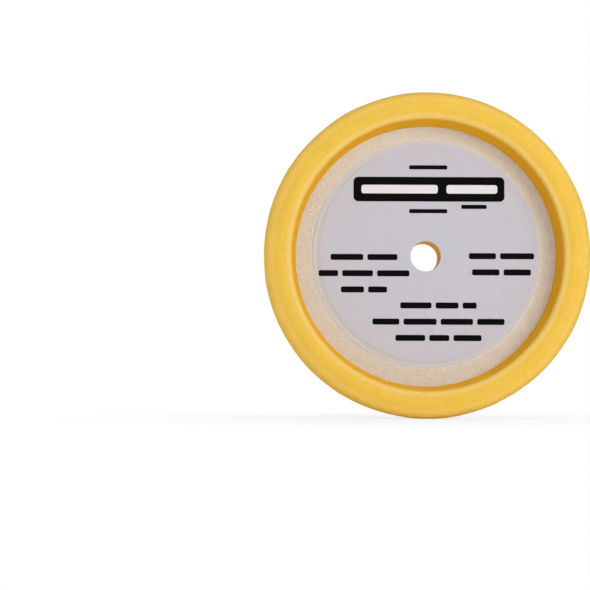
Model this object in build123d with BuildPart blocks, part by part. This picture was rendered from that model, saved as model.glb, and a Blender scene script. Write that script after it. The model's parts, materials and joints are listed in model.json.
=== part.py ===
"""Recessed foam polishing pad with a hook-and-loop grip face, standing on its edge.

The pad turns about the Y axis. The back, with its recess, grip face and label,
looks towards -Y, and the working face looks towards +Y. The origin is the
centre of the grip face, the plane of the loop tips that a backing plate presses
on. Dimensions are in millimetres, and +Z is up.
"""
from build123d import *
import os

os.makedirs("parts", exist_ok=True)

# ---- driving dimensions ----------------------------------------------------
PAD_DIAMETER = 203.2        # 8 inch pad
PAD_THICKNESS = 50.8        # 2 inches, rim to working face
HOLE_DIAMETER = 19.05       # 3/4 inch centring hole, right through every layer
RECESS_DIAMETER = 166.0     # hollow that takes the backing plate
GRIP_DEPTH = 19.05          # rim to grip face
GRIP_DIAMETER = 164.0       # loop fabric disc, let into the floor of the recess

FACE_EDGE_ROUND = 13.0      # working face to side wall
RIM_OUTER_ROUND = 6.0       # rim to side wall
RIM_INNER_ROUND = 4.0       # rim to recess wall
HOLE_EDGE_ROUND = 1.2       # centring hole to working face

PILE_THICKNESS = 1.6        # loops, standing
CLOTH_THICKNESS = 0.6       # knitted ground that the loops are part of
FILM_THICKNESS = 0.3        # hot-melt film that bonds the cloth to the foam

LABEL_DIAMETER = 142.5
LABEL_RIGHT = 0.2           # the label's outer edge is die-cut a little off its hole,
LABEL_UP = 1.2              # to the right and up as it is seen from the back
LABEL_THICKNESS = 0.3
GLUE_THICKNESS = 0.1        # label's own adhesive coat
LABEL_CLEARANCE = 0.3       # between the label's edge and the standing loops
GLUE_INSET = 1.0            # adhesive stops short of the label's edges

# ---- derived places along the axis -----------------------------------------
RIM_Y = -GRIP_DEPTH
FACE_Y = RIM_Y + PAD_THICKNESS
CLOTH_Y = PILE_THICKNESS
FILM_Y = CLOTH_Y + CLOTH_THICKNESS
SEAT_Y = FILM_Y + FILM_THICKNESS
GLUE_Y = LABEL_THICKNESS
POCKET_Y = GLUE_Y + GLUE_THICKNESS

PAD_RADIUS = PAD_DIAMETER / 2
HOLE_RADIUS = HOLE_DIAMETER / 2
RECESS_RADIUS = RECESS_DIAMETER / 2
GRIP_RADIUS = GRIP_DIAMETER / 2
LABEL_RADIUS = LABEL_DIAMETER / 2


def disc_plane(y, right=0, up=0):
    """Plane across the pad's axis at height y, its normal towards the working face."""
    return Plane(origin=(right, y, up), x_dir=(1, 0, 0), z_dir=(0, 1, 0))


# ---- foam pad: one block of foam, turned about the Y axis ------------------
with BuildPart() as foam_pad:
    with BuildSketch(Plane.XY):
        with BuildLine():
            Polyline(
                (PAD_RADIUS, RIM_Y),
                (PAD_RADIUS, FACE_Y),
                (HOLE_RADIUS, FACE_Y),
                (HOLE_RADIUS, SEAT_Y),
                (GRIP_RADIUS, SEAT_Y),
                (GRIP_RADIUS, 0),
                (RECESS_RADIUS, 0),
                (RECESS_RADIUS, RIM_Y),
                close=True,
            )
        make_face()
    revolve(axis=Axis.Y, revolution_arc=360)
    rings = foam_pad.edges().filter_by(GeomType.CIRCLE)
    face_rings = rings.group_by(Axis.Y)[-1].sort_by(SortBy.RADIUS)
    rim_rings = rings.group_by(Axis.Y)[0].sort_by(SortBy.RADIUS)
    fillet(face_rings[-1], radius=FACE_EDGE_ROUND)
    fillet(face_rings[0], radius=HOLE_EDGE_ROUND)
    fillet(rim_rings[-1], radius=RIM_OUTER_ROUND)
    fillet(rim_rings[0], radius=RIM_INNER_ROUND)
foam_pad.part.label = "foam_pad"
export_step(foam_pad.part, "parts/foam_pad.step")

# ---- bond film: hot-melt ply between the foam and the loop fabric ----------
with BuildPart() as bond_film:
    with BuildSketch(disc_plane(FILM_Y)):
        Circle(GRIP_RADIUS)
        Circle(HOLE_RADIUS, mode=Mode.SUBTRACT)
    extrude(amount=FILM_THICKNESS)
bond_film.part.label = "bond_film"
export_step(bond_film.part, "parts/bond_film.step")

# ---- loop cloth: the knitted ground of the loop fabric ---------------------
with BuildPart() as loop_cloth:
    with BuildSketch(disc_plane(CLOTH_Y)):
        Circle(GRIP_RADIUS)
        Circle(HOLE_RADIUS, mode=Mode.SUBTRACT)
    extrude(amount=CLOTH_THICKNESS)
loop_cloth.part.label = "loop_cloth"
export_step(loop_cloth.part, "parts/loop_cloth.step")

# ---- loop pile: the standing loops, pressed down where the label lies ------
with BuildPart() as loop_pile:
    with BuildSketch(disc_plane(0)):
        Circle(GRIP_RADIUS)
        Circle(HOLE_RADIUS, mode=Mode.SUBTRACT)
    extrude(amount=PILE_THICKNESS)
    with BuildSketch(disc_plane(0, LABEL_RIGHT, LABEL_UP)):
        Circle(LABEL_RADIUS + LABEL_CLEARANCE)
    extrude(amount=POCKET_Y, mode=Mode.SUBTRACT)
loop_pile.part.label = "loop_pile"
export_step(loop_pile.part, "parts/loop_pile.step")

# ---- label adhesive: pressure-sensitive coat on the label's back -----------
with BuildPart() as label_adhesive:
    with BuildSketch(disc_plane(GLUE_Y, LABEL_RIGHT, LABEL_UP)):
        Circle(LABEL_RADIUS - GLUE_INSET)
    extrude(amount=GLUE_THICKNESS)
    with BuildSketch(disc_plane(GLUE_Y)):
        Circle(HOLE_RADIUS + GLUE_INSET)
    extrude(amount=GLUE_THICKNESS, mode=Mode.SUBTRACT)
label_adhesive.part.label = "label_adhesive"
export_step(label_adhesive.part, "parts/label_adhesive.step")

# ---- paper label: printed disc, flush with the loop tips -------------------
with BuildPart() as paper_label:
    with BuildSketch(disc_plane(0, LABEL_RIGHT, LABEL_UP)):
        Circle(LABEL_RADIUS)
    extrude(amount=LABEL_THICKNESS)
    with BuildSketch(disc_plane(0)):
        Circle(HOLE_RADIUS)
    extrude(amount=LABEL_THICKNESS, mode=Mode.SUBTRACT)
paper_label.part.label = "paper_label"
export_step(paper_label.part, "parts/paper_label.step")
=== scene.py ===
"""Looks of the recessed foam polishing pad: foam, loop fabric, label, stage, lights and camera.

Lengths are in metres. The pad's axis is Y: its back, with the recess and the label, looks towards -Y.
"""
import json
import math
import bmesh
import bpy
import numpy as np
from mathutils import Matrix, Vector


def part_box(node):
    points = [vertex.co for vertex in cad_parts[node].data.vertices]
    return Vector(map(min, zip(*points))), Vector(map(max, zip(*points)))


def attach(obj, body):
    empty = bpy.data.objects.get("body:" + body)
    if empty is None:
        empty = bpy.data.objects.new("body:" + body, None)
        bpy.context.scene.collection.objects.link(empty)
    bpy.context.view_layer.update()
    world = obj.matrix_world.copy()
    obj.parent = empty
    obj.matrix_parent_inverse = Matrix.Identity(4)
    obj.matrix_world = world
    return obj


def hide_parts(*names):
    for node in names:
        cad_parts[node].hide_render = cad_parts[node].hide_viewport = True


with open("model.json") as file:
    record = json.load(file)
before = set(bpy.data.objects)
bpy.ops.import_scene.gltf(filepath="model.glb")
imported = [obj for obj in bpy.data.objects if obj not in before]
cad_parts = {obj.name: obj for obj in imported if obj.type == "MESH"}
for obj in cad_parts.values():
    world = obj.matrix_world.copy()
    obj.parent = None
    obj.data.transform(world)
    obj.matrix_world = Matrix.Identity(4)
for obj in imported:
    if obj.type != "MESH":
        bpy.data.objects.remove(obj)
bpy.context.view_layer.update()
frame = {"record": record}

MM = 0.001

# ---- places and sizes, read from the CAD nodes -------------------------------
FOAM_LOW, FOAM_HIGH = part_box("foam_pad")
GRIP_LOW, GRIP_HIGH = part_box("loop_cloth")
PILE_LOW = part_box("loop_pile")[0]
FILM_LOW, FILM_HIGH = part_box("bond_film")
LABEL_LOW, LABEL_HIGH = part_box("paper_label")
GLUE_LOW, GLUE_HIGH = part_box("label_adhesive")
BORES = {m["name"]: m["dims"]["r_mm"] * MM for m in frame["record"]["mounts"] if "r_mm" in m["dims"]}

PAD_R = FOAM_HIGH.z
RIM_Y = FOAM_LOW.y
FACE_Y = FOAM_HIGH.y
HOLE_R = BORES["centring_hole"]
RECESS_R = BORES["backing_recess"]
GRIP_R = GRIP_HIGH.z
SEAT_Y = FILM_HIGH.y
TIP_Y = PILE_LOW.y
CLOTH_Y = GRIP_LOW.y
LABEL_R = (LABEL_HIGH.z - LABEL_LOW.z) / 2
LABEL_X = (LABEL_HIGH.x + LABEL_LOW.x) / 2
LABEL_Z = (LABEL_HIGH.z + LABEL_LOW.z) / 2
POCKET_Y = GLUE_HIGH.y

# ---- shape of the soft parts ---------------------------------------------------
FACE_ROUND = 13.0 * MM        # working face to side wall
RIM_OUTER_ROUND = 6.5 * MM    # rim to side wall
LIP_ROUND = 4.0 * MM          # rim to recess wall
HOLE_ROUND = 1.4 * MM
WAIST = 0.2 * MM              # how far the side wall draws in halfway
FACE_CROWN = 0.5 * MM
RIM_CROWN = 0.75 * MM
WALL_FLARE = 1.1 * MM         # the recess wall leans out by this much towards the rim
WALL_TUCK = 0.2 * MM          # and its foot reaches this far over the loop fabric's edge


# ---- helpers: meshes -------------------------------------------------------------
def new_object(name, vertices, faces, smooth=True):
    """A mesh object from arrays of points and faces, its normals pointing outwards."""
    mesh = bpy.data.meshes.new(name)
    mesh.from_pydata([tuple(v) for v in vertices], [], [tuple(int(i) for i in f) for f in faces])
    mesh.update()
    tidy = bmesh.new()
    tidy.from_mesh(mesh)
    bmesh.ops.recalc_face_normals(tidy, faces=tidy.faces)
    tidy.to_mesh(mesh)
    tidy.free()
    mesh.polygons.foreach_set("use_smooth", [smooth] * len(mesh.polygons))
    obj = bpy.data.objects.new(name, mesh)
    bpy.context.scene.collection.objects.link(obj)
    return obj


def arc(centre, radius, start, end, steps):
    """Points (r, y) on an arc, its angles in degrees from the outward direction towards +Y."""
    angles = np.radians(np.linspace(start, end, steps + 1))
    return [(centre[0] + radius * math.cos(a), centre[1] + radius * math.sin(a)) for a in angles]


def bow(start, end, rise, steps, ease=1):
    """Points (r, y) between two ends, without the ends, bowed to the left of the way by rise.

    With ease 2 the bow starts and ends along the straight line, so it meets an arc without a kink.
    """
    (r0, y0), (r1, y1) = start, end
    length = math.hypot(r1 - r0, y1 - y0)
    out = []
    for t in np.linspace(0, 1, steps + 1)[1:-1]:
        lift = rise * math.sin(math.pi * t) ** ease
        out.append((
            r0 + (r1 - r0) * t - (y1 - y0) / length * lift,
            y0 + (y1 - y0) * t + (r1 - r0) / length * lift,
        ))
    return out


def turned(outline, segments, wander=None):
    """Points and quads of a closed outline of (r, y) turned about the Y axis. wander moves the points."""
    outline = np.array(outline)
    angles = np.linspace(0, 2 * math.pi, segments, endpoint=False)
    r, y = outline[:, 0][:, None], outline[:, 1][:, None]
    points = np.stack(
        [r * np.cos(angles), np.broadcast_to(y, (len(outline), segments)), r * np.sin(angles)], axis=-1
    )
    if wander is not None:
        ahead = np.roll(outline, -1, axis=0) - np.roll(outline, 1, axis=0)
        ahead /= np.linalg.norm(ahead, axis=1)[:, None]
        out_r, out_y = ahead[:, 1][:, None], -ahead[:, 0][:, None]
        out_y = np.broadcast_to(out_y, (len(outline), segments))
        normal = np.stack([out_r * np.cos(angles), out_y, out_r * np.sin(angles)], axis=-1)
        points = points + normal * wander(points)[..., None]
    i, j = np.meshgrid(np.arange(len(outline)), np.arange(segments), indexing="ij")
    i2, j2 = (i + 1) % len(outline), (j + 1) % segments
    quads = np.stack(
        [i * segments + j, i2 * segments + j, i2 * segments + j2, i * segments + j2], axis=-1
    )
    return points.reshape(-1, 3), quads.reshape(-1, 4)


def waves(seed, size, amplitude, count=18):
    """A smooth seeded unevenness: a function of points that sums plane waves about size long."""
    rng = np.random.default_rng(seed)
    ways = rng.normal(size=(count, 3))
    ways /= np.linalg.norm(ways, axis=1)[:, None]
    ways *= (2 * math.pi / size) * rng.uniform(0.6, 1.5, (count, 1))
    phases = rng.uniform(0, 2 * math.pi, count)
    gain = amplitude * math.sqrt(2 / count)
    return lambda points: gain * np.sin(points @ ways.T + phases).sum(axis=-1)


# ---- helpers: materials ------------------------------------------------------------
class Nodes:
    """Builds one Principled material and keeps its node calls short."""

    def __init__(self, name, **sockets):
        self.material = bpy.data.materials.new(name)
        self.material.use_nodes = True
        self.tree = self.material.node_tree
        self.shader = self.tree.nodes["Principled BSDF"]
        for socket, value in sockets.items():
            self.shader.inputs[socket.replace("_", " ")].default_value = value
        self.place = self.tree.nodes.new("ShaderNodeTexCoord").outputs["Object"]

    def link(self, source, target):
        self.tree.links.new(source, target)

    def from_axis(self):
        """Distance from the pad's axis, in metres."""
        flat = self.tree.nodes.new("ShaderNodeVectorMath")
        flat.operation = "MULTIPLY"
        flat.inputs[1].default_value = (1.0, 0.0, 1.0)
        self.link(self.place, flat.inputs[0])
        length = self.tree.nodes.new("ShaderNodeVectorMath")
        length.operation = "LENGTH"
        self.link(flat.outputs["Vector"], length.inputs[0])
        return length.outputs["Value"]

    def depth(self):
        """Place along the pad's axis, in metres."""
        split = self.tree.nodes.new("ShaderNodeSeparateXYZ")
        self.link(self.place, split.inputs[0])
        return split.outputs["Y"]

    def band(self, source, start, end, soft):
        """1 where source lies between start and end, fading to 0 over soft outside them."""
        up = self.ramp(source, start - soft, start)
        down = self.ramp(source, end, end + soft, 1.0, 0.0)
        return self.math("MULTIPLY", up, down)

    def noise(self, size, detail=3.0, roughness=0.55):
        """Noise with features about size metres long."""
        node = self.tree.nodes.new("ShaderNodeTexNoise")
        node.inputs["Scale"].default_value = 1 / size
        node.inputs["Detail"].default_value = detail
        node.inputs["Roughness"].default_value = roughness
        self.link(self.place, node.inputs["Vector"])
        return node.outputs["Fac"]

    def cells(self, size):
        """Distance to the nearest wall between cells of about size metres."""
        node = self.tree.nodes.new("ShaderNodeTexVoronoi")
        node.feature = "DISTANCE_TO_EDGE"
        node.inputs["Scale"].default_value = 1 / size
        self.link(self.place, node.inputs["Vector"])
        return node.outputs["Distance"]

    def ramp(self, source, low, high, out_low=0.0, out_high=1.0):
        """Source from low to high, stretched to out_low to out_high and held there."""
        node = self.tree.nodes.new("ShaderNodeMapRange")
        node.inputs["From Min"].default_value = low
        node.inputs["From Max"].default_value = high
        node.inputs["To Min"].default_value = out_low
        node.inputs["To Max"].default_value = out_high
        self.link(source, node.inputs["Value"])
        return node.outputs["Result"]

    def math(self, operation, a, b):
        """Two numbers or sockets combined."""
        node = self.tree.nodes.new("ShaderNodeMath")
        node.operation = operation
        for socket, value in zip(node.inputs, (a, b)):
            if isinstance(value, (int, float)):
                socket.default_value = value
            else:
                self.link(value, socket)
        return node.outputs[0]

    def mix(self, share, a, b, blend="MIX"):
        """Colours a and b mixed by share, each a colour or a socket."""
        node = self.tree.nodes.new("ShaderNodeMix")
        node.data_type = "RGBA"
        node.blend_type = blend
        for socket, value in ((node.inputs[0], share), (node.inputs[6], a), (node.inputs[7], b)):
            if isinstance(value, bpy.types.NodeSocket):
                self.link(value, socket)
            else:
                socket.default_value = value
        return node.outputs[2]

    def colour(self, source):
        self.link(source, self.shader.inputs["Base Color"])

    def roughness(self, source):
        self.link(source, self.shader.inputs["Roughness"])

    def bump(self, height, depth, strength=1.0):
        node = self.tree.nodes.new("ShaderNodeBump")
        node.inputs["Strength"].default_value = strength
        node.inputs["Distance"].default_value = depth
        self.link(height, node.inputs["Height"])
        self.link(node.outputs["Normal"], self.shader.inputs["Normal"])


def rgb(red, green, blue):
    """A linear colour from display values of 0 to 255."""
    def linear(value):
        share = value / 255
        return share / 12.92 if share <= 0.04045 else ((share + 0.055) / 1.055) ** 2.4
    return (linear(red), linear(green), linear(blue), 1.0)


def foam_material():
    """Open-cell foam: matt yellow cells with painted shade in their pores, a painted deeper orange on the
    recess wall for light bounced about the recess, painted paler light deep in the centre hole, and a painted
    sheen highlight along the lip and the rim's outer edge.
    """
    m = Nodes(
        "yellow_foam",
        Roughness=0.95,
        Specular_IOR_Level=0.05,
        Sheen_Weight=0.04,
        Sheen_Roughness=0.5,
        Sheen_Tint=(1.0, 0.93, 0.72, 1.0),
        Subsurface_Weight=0.10,
        Subsurface_Radius=(1.0, 0.45, 0.08),
        Subsurface_Scale=0.003,
    )
    radius, depth = m.from_axis(), m.depth()
    mottle = m.ramp(m.noise(17 * MM, detail=4), 0.35, 0.65)
    body = m.mix(mottle, rgb(242, 198, 80), rgb(245, 202, 86))
    clumps = m.ramp(m.noise(1.6 * MM, detail=2), 0.3, 0.7)
    body = m.mix(m.math("MULTIPLY", clumps, 0.18), body, rgb(250, 212, 104))
    blotches = m.ramp(m.noise(3.0 * MM, detail=3), 0.35, 0.65)
    body = m.mix(m.math("MULTIPLY", blotches, 0.08), body, rgb(233, 182, 66))

    back = m.ramp(depth, 0.2 * MM, 1.0 * MM, 1.0, 0.0)
    lip_r = RECESS_R + WALL_FLARE
    lip = m.math("MULTIPLY", m.band(radius, lip_r + 0.9 * MM, lip_r + 2.6 * MM, 2.2 * MM), back)
    rim = m.ramp(depth, RIM_Y + 2 * MM, RIM_Y + 4 * MM, 1.0, 0.0)
    brow = m.math("MULTIPLY", m.band(radius, PAD_R - 4.5 * MM, PAD_R - 2.5 * MM, 2.0 * MM), rim)
    # Painted highlight: a pale sheen painted along the lip and, more faintly, near the rim's outer edge.
    painted_edge_sheen = m.math("MULTIPLY", m.math("MAXIMUM", lip, m.math("MULTIPLY", brow, 0.3)), 0.52)
    body = m.mix(painted_edge_sheen, body, rgb(250, 219, 142))

    # Painted light: the recess wall is mixed towards a deeper, more saturated orange in place of the light
    # bounced about inside the recess.
    wall = m.math("MULTIPLY", m.ramp(radius, lip_r, lip_r + 1.1 * MM, 1.0, 0.0), back)
    # Painted light: the centre hole's wall is mixed towards a paler gold away from the working face,
    # brightening the hole's shade.
    inside = m.ramp(depth, FACE_Y - 9 * MM, FACE_Y - 2 * MM, 1.0, 0.0)
    hole = m.math("MULTIPLY", m.ramp(radius, HOLE_R + 0.2 * MM, HOLE_R + 0.6 * MM, 1.0, 0.0), inside)
    body = m.mix(wall, body, rgb(252, 186, 30))
    body = m.mix(hole, body, rgb(250, 212, 110))

    # Painted shade: the pores are mixed towards a darker orange; the same mask dents them in the bump.
    pores_dent_and_shade = m.ramp(m.cells(1.15 * MM), 0.02, 0.30)
    body = m.mix(m.math("MULTIPLY", pores_dent_and_shade, 0.19), body, rgb(208, 146, 36))
    m.colour(body)
    grain = m.math("MULTIPLY", m.noise(0.5 * MM, detail=3, roughness=0.7), 0.5)
    height = m.math("SUBTRACT", grain, m.math("MULTIPLY", pores_dent_and_shade, 0.6))
    height = m.math("ADD", height, m.math("MULTIPLY", clumps, 0.4))
    side = m.ramp(radius, PAD_R - 4 * MM, PAD_R - 1 * MM, 1.0, 2.4)
    m.bump(m.math("MULTIPLY", height, side), 0.25 * MM, strength=0.6)
    return m.material


def loop_material(name, pale, deep):
    """Nylon loops: cream yarn, a little shiny, shaded by tuft."""
    m = Nodes(
        name,
        Roughness=0.75,
        Specular_IOR_Level=0.35,
        Sheen_Weight=0.3,
        Sheen_Roughness=0.5,
        Sheen_Tint=(1.0, 0.97, 0.9, 1.0),
    )
    tufts = m.ramp(m.noise(2.2 * MM, detail=3), 0.3, 0.7)
    strands = m.ramp(m.noise(0.35 * MM, detail=2, roughness=0.7), 0.3, 0.7)
    body = m.mix(tufts, deep, pale)
    body = m.mix(m.math("MULTIPLY", strands, 0.3), body, pale)
    m.colour(body)
    m.bump(strands, 0.06 * MM, strength=0.5)
    return m.material


def film_material(name, tint, rough):
    """A set coat of adhesive, cloudy and slightly uneven."""
    m = Nodes(name, Roughness=rough, Specular_IOR_Level=0.5)
    cloud = m.ramp(m.noise(4 * MM, detail=3), 0.35, 0.65)
    deep = tuple(0.82 * c for c in tint[:3]) + (1.0,)
    m.colour(m.mix(cloud, deep, tint))
    m.roughness(m.ramp(cloud, 0.0, 1.0, rough - 0.1, rough + 0.1))
    m.bump(m.noise(1.2 * MM, detail=2), 0.05 * MM, strength=0.6)
    return m.material


def paper_material(name, tint):
    """Coated paper: nearly even, with a faint fibre cloud and a soft satin."""
    m = Nodes(name, Specular_IOR_Level=0.35)
    cloud = m.ramp(m.noise(5 * MM, detail=5, roughness=0.6), 0.35, 0.65)
    fibre = m.ramp(m.noise(0.4 * MM, detail=3, roughness=0.7), 0.3, 0.7)
    deep = tuple(0.955 * c for c in tint[:3]) + (1.0,)
    body = m.mix(cloud, deep, tint)
    body = m.mix(m.math("MULTIPLY", fibre, 0.25), body, deep)
    m.colour(body)
    m.roughness(m.ramp(fibre, 0.0, 1.0, 0.48, 0.62))
    m.bump(m.math("ADD", fibre, cloud), 0.02 * MM, strength=0.35)
    return m.material


def ink_material(name, tint, worn, shine=0.1):
    """Printed ink, a touch thinner where the paper's fibres stand up."""
    m = Nodes(name, Specular_IOR_Level=shine)
    thin = m.ramp(m.noise(0.5 * MM, detail=4, roughness=0.7), 0.45, 0.75)
    m.colour(m.mix(m.math("MULTIPLY", thin, 0.35), tint, worn))
    m.roughness(m.ramp(thin, 0.0, 1.0, 0.42, 0.6))
    m.bump(thin, 0.01 * MM, strength=0.3)
    return m.material


# ---- foam pad ------------------------------------------------------------------------
def foam_outline():
    """The foam's section as (r, y), from the working face round the wall, rim and recess to the hole."""
    face_end = (PAD_R - FACE_ROUND, FACE_Y - FACE_CROWN)
    wall_head = (PAD_R, FACE_Y - FACE_CROWN - FACE_ROUND)
    wall_foot = (PAD_R, RIM_Y + RIM_OUTER_ROUND)
    lip_r = RECESS_R + WALL_FLARE + LIP_ROUND
    lip_start = (lip_r, RIM_Y)
    wall_top = (RECESS_R + WALL_FLARE, RIM_Y + LIP_ROUND)
    foot = (GRIP_R - WALL_TUCK, TIP_Y)
    hole_lip = (HOLE_R + HOLE_ROUND, FACE_Y)
    outline = [hole_lip]
    outline += bow(hole_lip, face_end, FACE_CROWN * 0.6, 52)
    outline += arc((face_end[0], face_end[1] - FACE_ROUND), FACE_ROUND, 90, 0, 14)
    outline += bow(wall_head, wall_foot, -WAIST, 24, ease=2)
    outline += arc((PAD_R - RIM_OUTER_ROUND, RIM_Y + RIM_OUTER_ROUND), RIM_OUTER_ROUND, 0, -90, 8)
    outline += bow((PAD_R - RIM_OUTER_ROUND, RIM_Y), lip_start, RIM_CROWN, 7)
    outline += arc((lip_r, RIM_Y + LIP_ROUND), LIP_ROUND, 270, 180, 8)
    outline += bow(wall_top, foot, 0.0, 12)
    outline += [foot, (GRIP_R, SEAT_Y)]
    outline += bow((GRIP_R, SEAT_Y), (HOLE_R, SEAT_Y), 0.0, 20)
    outline += [(HOLE_R, SEAT_Y)]
    outline += bow((HOLE_R, SEAT_Y), (HOLE_R, FACE_Y - HOLE_ROUND), 0.0, 20)
    outline += arc((HOLE_R + HOLE_ROUND, FACE_Y - HOLE_ROUND), HOLE_ROUND, 180, 90, 4)[:-1]
    return outline


def make_foam():
    """The foam block, with the slight unevenness of cut foam, and true only where other layers lie on it."""
    broad = waves(3, 46 * MM, 0.08 * MM)
    middle = waves(4, 13 * MM, 0.03 * MM)
    fine = waves(5, 4.5 * MM, 0.03 * MM, count=30)

    def wander(points):
        r = np.hypot(points[..., 0], points[..., 2])
        y = points[..., 1]
        seated = (r < GRIP_R + 0.2 * MM) & (y > TIP_Y - 0.5 * MM) & (y < SEAT_Y + 0.2 * MM)
        in_hole = r < HOLE_R + 0.1 * MM
        amount = broad(points) + middle(points) + fine(points)
        return np.where(seated, 0.0, np.where(in_hole, -abs(amount), amount))

    obj = new_object("foam_block", *turned(foam_outline(), 520, wander))
    obj.data.materials.append(foam_material())
    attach(obj, "pad")
    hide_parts("foam_pad")


# ---- thin sheets ----------------------------------------------------------------------
def label_height(x, z):
    """How far the label lies behind its flat place, as it follows the loops under it."""
    broad = waves(31, 60 * MM, 0.10 * MM)
    small = waves(32, 9 * MM, 0.018 * MM)
    points = np.stack([x, np.zeros_like(x), z], axis=-1)
    return broad(points) + small(points)


def slab(grid, front, back, wrap, height_over=None):
    """Points and faces of a thin closed sheet over a grid of (x, z), between the heights front and back."""
    rows, columns = grid.shape[:2]
    x, z = grid[..., 0], grid[..., 1]
    lift = (height_over or label_height)(x, z)
    layers = [np.stack([x, height + lift, z], axis=-1).reshape(-1, 3) for height in (front, back)]
    here = np.arange(rows * columns).reshape(rows, columns)
    if wrap:
        here = np.concatenate([here, here[:, :1]], axis=1)
    under = here + rows * columns

    def quads(a, b, c, d):
        return np.stack([a, b, c, d], axis=-1).reshape(-1, 4)

    faces = [
        quads(here[:-1, :-1], here[1:, :-1], here[1:, 1:], here[:-1, 1:]),
        quads(under[:-1, :-1], under[:-1, 1:], under[1:, 1:], under[1:, :-1]),
    ]
    edges = [(here[0], under[0]), (here[-1], under[-1])]
    if not wrap:
        edges += [(here[:, 0], under[:, 0]), (here[:, -1], under[:, -1])]
    for top, bottom in edges:
        faces.append(quads(top[:-1], top[1:], bottom[1:], bottom[:-1]))
    return np.concatenate(layers), np.concatenate(faces)


def between_circles(inner, outer, rings, segments):
    """A grid of (x, z) from one circle out to another, each given as (x, z, radius)."""
    angles = np.linspace(0, 2 * math.pi, segments, endpoint=False)
    way = np.stack([np.cos(angles), np.sin(angles)], axis=-1)
    share = np.linspace(0, 1, rings)[:, None, None]
    start, end = (np.array(circle[:2]) + circle[2] * way for circle in (inner, outer))
    return start * (1 - share) + end * share


# ---- loop fabric -----------------------------------------------------------------------
def make_cloth():
    """The knitted ground: a thin disc, its front uneven like a knit."""
    low, high = CLOTH_Y, GRIP_HIGH.y
    radii = np.linspace(HOLE_R, GRIP_R, 70)
    outline = [(r, high) for r in radii[::-1]] + [(r, low) for r in radii]
    relief = waves(11, 1.7 * MM, 0.05 * MM, count=30)

    def wander(points):
        front = points[..., 1] < low + 0.01 * MM
        return np.where(front, relief(points), 0.0)

    obj = new_object("loop_ground", *turned(outline, 420, wander))
    obj.data.materials.append(loop_material("loop_cloth", rgb(232, 222, 208), rgb(220, 208, 190)))
    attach(obj, "pad")
    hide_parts("loop_cloth")
    return obj


def in_label(x, z, margin=0.0):
    """Whether points lie under the label, or within margin of its edge."""
    return np.hypot(x - LABEL_X, z - LABEL_Z) < LABEL_R + margin


def scatter(rng, spacing, inside):
    """Points (x, z) on a jittered grid of that spacing, kept where inside(x, z) holds."""
    count = int(2 * GRIP_R / spacing) + 2
    line = (np.arange(count) - count / 2) * spacing
    x, z = (a.ravel() for a in np.meshgrid(line, line))
    x = x + np.where(np.round(z / spacing) % 2 == 0, spacing / 2, 0.0)
    x = x + rng.uniform(-0.4, 0.4, x.shape) * spacing
    z = z + rng.uniform(-0.4, 0.4, z.shape) * spacing
    keep = inside(x, z)
    return x[keep], z[keep]


def loops(rng, x, z, tip, spans, yarn, lean, steps):
    """Points and faces of small arches of yarn that stand on the cloth, one at each (x, z).

    tip is how far out along the axis each could reach, spans the least and most half width, yarn the
    yarn's radius and lean how far the arches tip over.
    """
    count = len(x)
    base = np.stack([x, np.full(count, CLOTH_Y + 0.05 * MM), z], axis=-1)
    turn = rng.uniform(0, 2 * math.pi, count)
    side = np.stack([np.cos(turn), np.zeros(count), np.sin(turn)], axis=-1)
    bend = rng.normal(0, lean, (count, 3)) * np.array([1.0, 0.0, 1.0])
    height = (base[:, 1] - tip) * rng.uniform(0.72, 1.0, count)
    span = rng.uniform(spans[0], spans[1], count)
    t = np.linspace(-0.12, 1.12, steps + 1)
    across = -np.cos(math.pi * t)
    rise = np.sin(math.pi * np.clip(t, 0, 1)) ** 0.75
    line = (
        base[:, None]
        + side[:, None] * (span[:, None] * across)[..., None]
        + np.array([0.0, -1.0, 0.0]) * (height[:, None] * rise)[..., None]
        + bend[:, None] * rise[None, :, None]
    )
    ahead = np.gradient(line, axis=1)
    ahead /= np.linalg.norm(ahead, axis=-1, keepdims=True)
    out = np.cross(side, [0.0, -1.0, 0.0])[:, None]
    up = np.cross(ahead, out)
    corners = []
    for k in range(3):
        angle = 2 * math.pi * k / 3
        corners.append(line + yarn * (math.cos(angle) * out + math.sin(angle) * up))
    points = np.stack(corners, axis=2).reshape(-1, 3)
    faces = []
    first = np.arange(count) * (steps + 1) * 3
    for s in range(steps):
        for k in range(3):
            a, b = s * 3 + k, s * 3 + (k + 1) % 3
            faces.append(np.stack([first + a, first + b, first + b + 3, first + a + 3], axis=-1))
    last = first + steps * 3
    caps = np.concatenate([
        np.stack([first + 2, first + 1, first], axis=-1),
        np.stack([last, last + 1, last + 2], axis=-1),
    ])
    return points, [*np.concatenate(faces), *caps]


def make_bed(yarn):
    """The thick of the pile round the label, where the loops are too close to see between."""
    tufts = waves(12, 1.1 * MM, 0.11 * MM, count=40)

    def crowded(x, z):
        """The loops beside the label's edge are pushed up against it."""
        return 0.55 * MM * np.exp(-(np.hypot(x - LABEL_X, z - LABEL_Z) - LABEL_R) / (0.8 * MM))

    grid = between_circles((LABEL_X, LABEL_Z, LABEL_R + 0.05 * MM), (0, 0, GRIP_R - 0.15 * MM), 30, 1200)
    obj = new_object("loops_bed", *slab(
        grid, TIP_Y + 0.7 * MM, CLOTH_Y + 0.15 * MM, True,
        lambda x, z: tufts(np.stack([x, 0 * x, z], axis=-1)) - crowded(x, z),
    ))
    obj.data.materials.append(yarn)
    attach(obj, "pad")
    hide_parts("loop_pile")
    return obj


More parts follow.
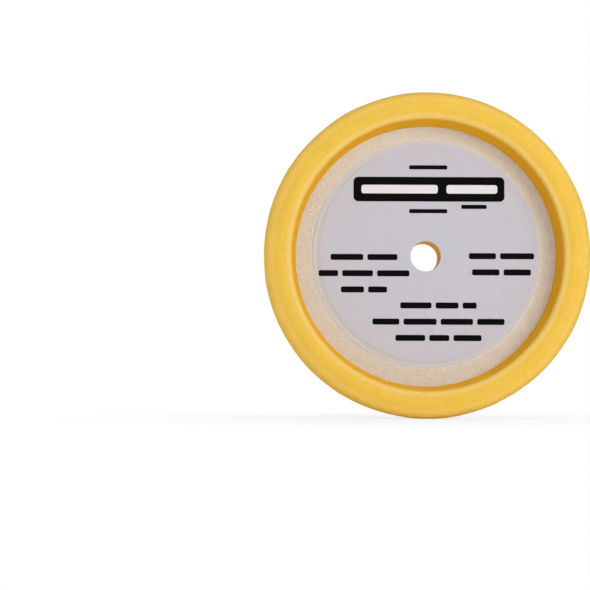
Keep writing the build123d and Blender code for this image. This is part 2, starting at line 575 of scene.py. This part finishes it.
def make_pile():
    """The standing loops in their bed, and the loops pressed into the adhesive under the label."""
    yarn = loop_material("loop_pile", rgb(233, 224, 212), rgb(225, 215, 200))
    edge = GRIP_R - 0.5 * MM

    def ring(x, z):
        r = np.hypot(x, z)
        return (r < edge) & (r > HOLE_R + 0.5 * MM) & ~in_label(x, z, 0.7 * MM)

    def pressed(x, z):
        r = np.hypot(x, z)
        return (r < edge) & (r > HOLE_R + 0.6 * MM) & in_label(x, z, 0.2 * MM)

    def free_tips(x, z):
        return np.full_like(x, TIP_Y + 0.1 * MM)

    def tips_under_label(x, z):
        return POCKET_Y - 0.02 * MM + label_height(x, z)

    standing_spans = (0.35 * MM, 0.6 * MM)
    pressed_spans = (0.5 * MM, 0.8 * MM)
    kinds = (
        ("loops_standing", 21, ring, 0.68 * MM, free_tips, standing_spans, 0.115 * MM, 0.2 * MM),
        ("loops_pressed", 22, pressed, 1.15 * MM, tips_under_label, pressed_spans, 0.12 * MM, 0.4 * MM),
    )
    made = [make_bed(yarn)]
    for name, seed, inside, spacing, tips, spans, radius, lean in kinds:
        rng = np.random.default_rng(seed)
        x, z = scatter(rng, spacing, inside)
        halves = (x < 0, x >= 0)
        for half, side in zip(halves, ("left", "right")):
            tip = tips(x[half], z[half])
            obj = new_object(
                f"{name}_{side}", *loops(rng, x[half], z[half], tip, spans, radius, lean, steps=5)
            )
            obj.data.materials.append(yarn)
            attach(obj, "pad")
            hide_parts("loop_pile")
            made.append(obj)
    return made


def make_film():
    """The bond ply: a thin disc between the foam and the knitted ground."""
    low, high = FILM_LOW.y, FILM_HIGH.y
    outline = [(HOLE_R, low), (HOLE_R, high)]
    outline += [(r, high) for r in np.linspace(HOLE_R, GRIP_R, 24)[1:]]
    outline += [(r, low) for r in np.linspace(GRIP_R, HOLE_R, 24)[:-1]]
    obj = new_object("bond_ply", *turned(outline, 180))
    obj.data.materials.append(film_material("bond_film", rgb(226, 206, 160), 0.4))
    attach(obj, "pad")
    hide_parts("bond_film")
    return obj


# ---- label ---------------------------------------------------------------------------
def rounded_bar(x, z, width, height, corner):
    """A grid of (x, z) over a bar with rounded corners, centred at x, z."""
    turn = np.linspace(0, math.pi / 2, 6)
    ends = height / 2 - corner + corner * np.sin(turn)
    inset = corner * (1 - np.cos(turn))
    middle = np.linspace(-ends[0], ends[0], 2 + int(height / (2 * MM)))[1:-1]
    up = np.concatenate([-ends[::-1], middle, ends])[:, None]
    half = width / 2 - np.concatenate([inset[::-1], 0 * middle, inset])[:, None]
    across = np.linspace(-1, 1, max(4, int(width / (2 * MM))))
    return np.stack([x + half * across, z + up + 0 * across], axis=-1)


def joined(parts):
    """Points and faces of several closed sheets as one mesh."""
    points, faces, count = [], [], 0
    for more_points, more_faces in parts:
        points.append(more_points)
        faces.append(more_faces + count)
        count += len(more_points)
    return np.concatenate(points), np.concatenate(faces)


def on_label(name, mesh, material):
    """A piece that rides with the label and takes its finish."""
    obj = new_object(name, *mesh, smooth=False)
    obj.data.materials.append(material)
    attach(obj, "label")
    return obj


def words(rng, x, z, length, height, gap, ink):
    """Plain bars that stand for the words of one centred line, ink being their front and back."""
    start, end = x - length / 2, x + length / 2
    while start < end - 2 * MM:
        width = min(rng.uniform(11, 21) * MM, end - start)
        if end - start - width < 8 * MM:
            width = end - start
        yield slab(rounded_bar(start + width / 2, z, width, height, height * 0.28), *ink, wrap=False)
        start += width + gap


def make_print():
    """The label's print: a grey ground over a thin tan ring, a header bar, and bars in place of every word.
    """
    face = LABEL_LOW.y
    line_ink = (face - 0.01 * MM, face + 0.015 * MM)
    ground_ink = (face - 0.025 * MM, face + 0.02 * MM)
    black_ink = (face - 0.045 * MM, face - 0.005 * MM)
    white_ink = (face - 0.07 * MM, face - 0.03 * MM)

    ground = (LABEL_X + 1.8 * MM, LABEL_Z + 1.0 * MM, 68.15 * MM)
    on_label(
        "print_ground",
        slab(between_circles((0, 0, HOLE_R + 0.2 * MM), ground, 44, 240), *ground_ink, wrap=True),
        paper_material("print_ground", rgb(199, 197, 207)),
    )
    # A thin tan ring printed under the ground; it shows only where the off-centre ground leaves it uncovered,
    # towards -X and -Z.
    line_r = 68.8 * MM
    line_width = 4 * MM           # most of it lies under the ground
    line = between_circles((LABEL_X, LABEL_Z, line_r - line_width), (LABEL_X, LABEL_Z, line_r), 5, 240)
    on_label(
        "print_tan_ring",
        slab(line, *line_ink, wrap=True),
        ink_material("print_tan_ring", rgb(197, 191, 190), rgb(202, 198, 198)),
    )

    black = ink_material("print_black", rgb(4, 4, 4), rgb(12, 12, 13), shine=0.03)
    white = ink_material("print_white", rgb(232, 229, 232), rgb(214, 209, 213))
    header_x, header_z = 2.0 * MM, 42.2 * MM
    header = rounded_bar(header_x, header_z, 95 * MM, 15.5 * MM, 3 * MM)
    on_label("print_header", slab(header, *black_ink, wrap=False), black)
    title = [
        slab(rounded_bar(header_x + x * MM, header_z, width * MM, 5.4 * MM, 1.5 * MM), *white_ink, wrap=False)
        for x, width in ((-18.5, 48), (27.0, 32))
    ]
    on_label("print_header_words", joined(title), white)

    # x and top of each block of lines, and the length of each line, in mm
    blocks = (
        (-38.8, -0.6, (42, 57, 29)),
        (47.6, 0.2, (41, 37)),
        (8.0, -30.9, (48, 83, 54)),
    )
    pitch = 10.2
    small_lines = ((1.5, 56.0, 24), (1.5, 28.4, 24), (30.3, 31.2, 16))
    rng = np.random.default_rng(41)
    bars = []
    for x, top, lengths in blocks:
        for row, length in enumerate(lengths):
            z = top - pitch * row
            bars += words(rng, x * MM, z * MM, length * MM, 3.8 * MM, 2.6 * MM, black_ink)
    for x, z, length in small_lines:
        bars += words(rng, x * MM, z * MM, length * MM, 2.6 * MM, 1.8 * MM, black_ink)
    on_label("print_words", joined(bars), black)


def make_label():
    """The paper disc and the coat of adhesive on its back."""
    sheet = slab(
        between_circles((0, 0, HOLE_R), (LABEL_X, LABEL_Z, LABEL_R), 44, 240), LABEL_LOW.y, LABEL_HIGH.y, True
    )
    paper = on_label("label_paper_disc", sheet, paper_material("label_paper", rgb(204, 203, 208)))
    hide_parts("paper_label")
    inset = 1.0 * MM
    coat = slab(
        between_circles((0, 0, HOLE_R + inset), (LABEL_X, LABEL_Z, LABEL_R - inset), 30, 180),
        GLUE_LOW.y, GLUE_HIGH.y, True,
    )
    glue = new_object("label_glue_coat", *coat, smooth=False)
    glue.data.materials.append(film_material("label_adhesive", rgb(214, 200, 158), 0.35))
    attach(glue, "label")
    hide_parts("label_adhesive")


# ---- stage, lights and camera ------------------------------------------------------------
def make_stage():
    """A pale floor that looks white further out, so that it fades into the white surround."""
    floor_z = FOAM_LOW.z
    radii = (0.3, 0.8, 2.0, 4.0, 9.0)
    segments = 64
    turns = [2 * math.pi * k / segments for k in range(segments)]
    vertices = [(r * math.cos(a), r * math.sin(a), floor_z) for r in radii for a in turns]
    centre = len(vertices)
    vertices.append((0, 0, floor_z))
    faces = [(k, (k + 1) % segments, centre) for k in range(segments)]
    for ring in range(len(radii) - 1):
        for k in range(segments):
            a, b = ring * segments + k, ring * segments + (k + 1) % segments
            faces.append((a, a + segments, b + segments, b))
    floor = new_object("floor", vertices, faces, smooth=False)
    m = bpy.data.materials.new("floor")
    m.use_nodes = True
    tree = m.node_tree
    shader = tree.nodes["Principled BSDF"]
    shader.inputs["Base Color"].default_value = (0.93, 0.93, 0.93, 1)
    shader.inputs["Roughness"].default_value = 0.9
    shader.inputs["Specular IOR Level"].default_value = 0.1
    glow = tree.nodes.new("ShaderNodeEmission")
    glow.inputs["Color"].default_value = (1, 1, 1, 1)
    place = tree.nodes.new("ShaderNodeTexCoord")
    length = tree.nodes.new("ShaderNodeVectorMath")
    length.operation = "LENGTH"
    tree.links.new(place.outputs["Object"], length.inputs[0])
    fade = tree.nodes.new("ShaderNodeMapRange")
    fade.interpolation_type = "SMOOTHSTEP"
    fade.inputs["From Min"].default_value = 0.04
    fade.inputs["From Max"].default_value = 0.30
    fade.inputs["To Min"].default_value = 0.72
    tree.links.new(length.outputs["Value"], fade.inputs["Value"])
    seen = tree.nodes.new("ShaderNodeLightPath")
    share = tree.nodes.new("ShaderNodeMath")
    share.operation = "MULTIPLY"
    tree.links.new(fade.outputs["Result"], share.inputs[0])
    tree.links.new(seen.outputs["Is Camera Ray"], share.inputs[1])
    mix = tree.nodes.new("ShaderNodeMixShader")
    tree.links.new(share.outputs["Value"], mix.inputs["Fac"])
    tree.links.new(shader.outputs["BSDF"], mix.inputs[1])
    tree.links.new(glow.outputs["Emission"], mix.inputs[2])
    tree.links.new(mix.outputs["Shader"], tree.nodes["Material Output"].inputs["Surface"])
    floor.data.materials.append(m)


def make_world(ambient):
    """A white surround that lights the pad less than it shows."""
    world = bpy.data.worlds.new("surround")
    bpy.context.scene.world = world
    world.use_nodes = True
    tree = world.node_tree
    tree.nodes.clear()
    seen = tree.nodes.new("ShaderNodeBackground")
    light = tree.nodes.new("ShaderNodeBackground")
    seen.inputs["Strength"].default_value = 1.0
    seen.inputs["Color"].default_value = (1, 1, 1, 1)
    light.inputs["Color"].default_value = (1, 0.99, 0.975, 1)
    light.inputs["Strength"].default_value = ambient
    path = tree.nodes.new("ShaderNodeLightPath")
    mix = tree.nodes.new("ShaderNodeMixShader")
    out = tree.nodes.new("ShaderNodeOutputWorld")
    tree.links.new(path.outputs["Is Camera Ray"], mix.inputs["Fac"])
    tree.links.new(light.outputs["Background"], mix.inputs[1])
    tree.links.new(seen.outputs["Background"], mix.inputs[2])
    tree.links.new(mix.outputs["Shader"], out.inputs["Surface"])


def area_light(name, place, size, power, tint=(1.0, 1.0, 1.0)):
    """A square soft light at place, aimed at the pad."""
    data = bpy.data.lights.new(name, "AREA")
    data.size = size
    data.energy = power
    data.color = tint
    obj = bpy.data.objects.new(name, data)
    obj.location = place
    obj.rotation_mode = "QUATERNION"
    obj.rotation_quaternion = (-Vector(place)).to_track_quat("-Z", "Y")
    bpy.context.scene.collection.objects.link(obj)


def make_camera():
    """A long lens nearly square on to the back, a little from the left and below, the pad right of middle."""
    lens, sensor = 127.0, 36.0
    pad_share = 0.2763                    # the pad's radius in the picture, as a share of the width
    pad_right, pad_up = 0.2242, 0.0676    # and its place from the middle, as shares of the width
    azimuth, elevation = math.radians(-4.3), math.radians(-3.3)
    focal = lens / sensor
    distance = focal * PAD_R / pad_share
    target = Vector((0, RIM_Y + RIM_OUTER_ROUND, 0))
    back = Vector((
        math.sin(azimuth) * math.cos(elevation),
        -math.cos(azimuth) * math.cos(elevation),
        math.sin(elevation),
    ))
    data = bpy.data.cameras.new("camera")
    data.lens = lens
    data.sensor_width = sensor
    data.clip_start = 0.01
    data.clip_end = 60
    camera = bpy.data.objects.new("camera", data)
    bpy.context.scene.collection.objects.link(camera)
    camera.location = target + back * distance
    camera.rotation_mode = "QUATERNION"
    straight = (-back).to_track_quat("-Z", "Y")
    off_centre = Vector((0, 0, -1)).rotation_difference(Vector((pad_right, pad_up, -focal)))
    camera.rotation_quaternion = straight @ off_centre.inverted()
    bpy.context.scene.camera = camera


# ---- the scene ---------------------------------------------------------------------------
make_camera()
make_foam()
cloth = make_cloth()
pile = make_pile()
film = make_film()
make_label()
make_print()
make_stage()
make_world(0.35)
area_light("key_light", (0.95, -1.54, 0.38), 0.90, 12.5)
area_light("front_light", (-0.05, -1.85, 0.08), 0.70, 7.6)
area_light("top_light", (0.2, -0.5, 1.9), 1.4, 6.0)
area_light("back_light", (0.95, 1.7, 0.5), 0.8, 19)
area_light("left_light", (-1.45, 0.25, 0.15), 0.6, 6.0, (1.0, 0.96, 0.88))
bpy.context.scene.view_settings.view_transform = "Standard"
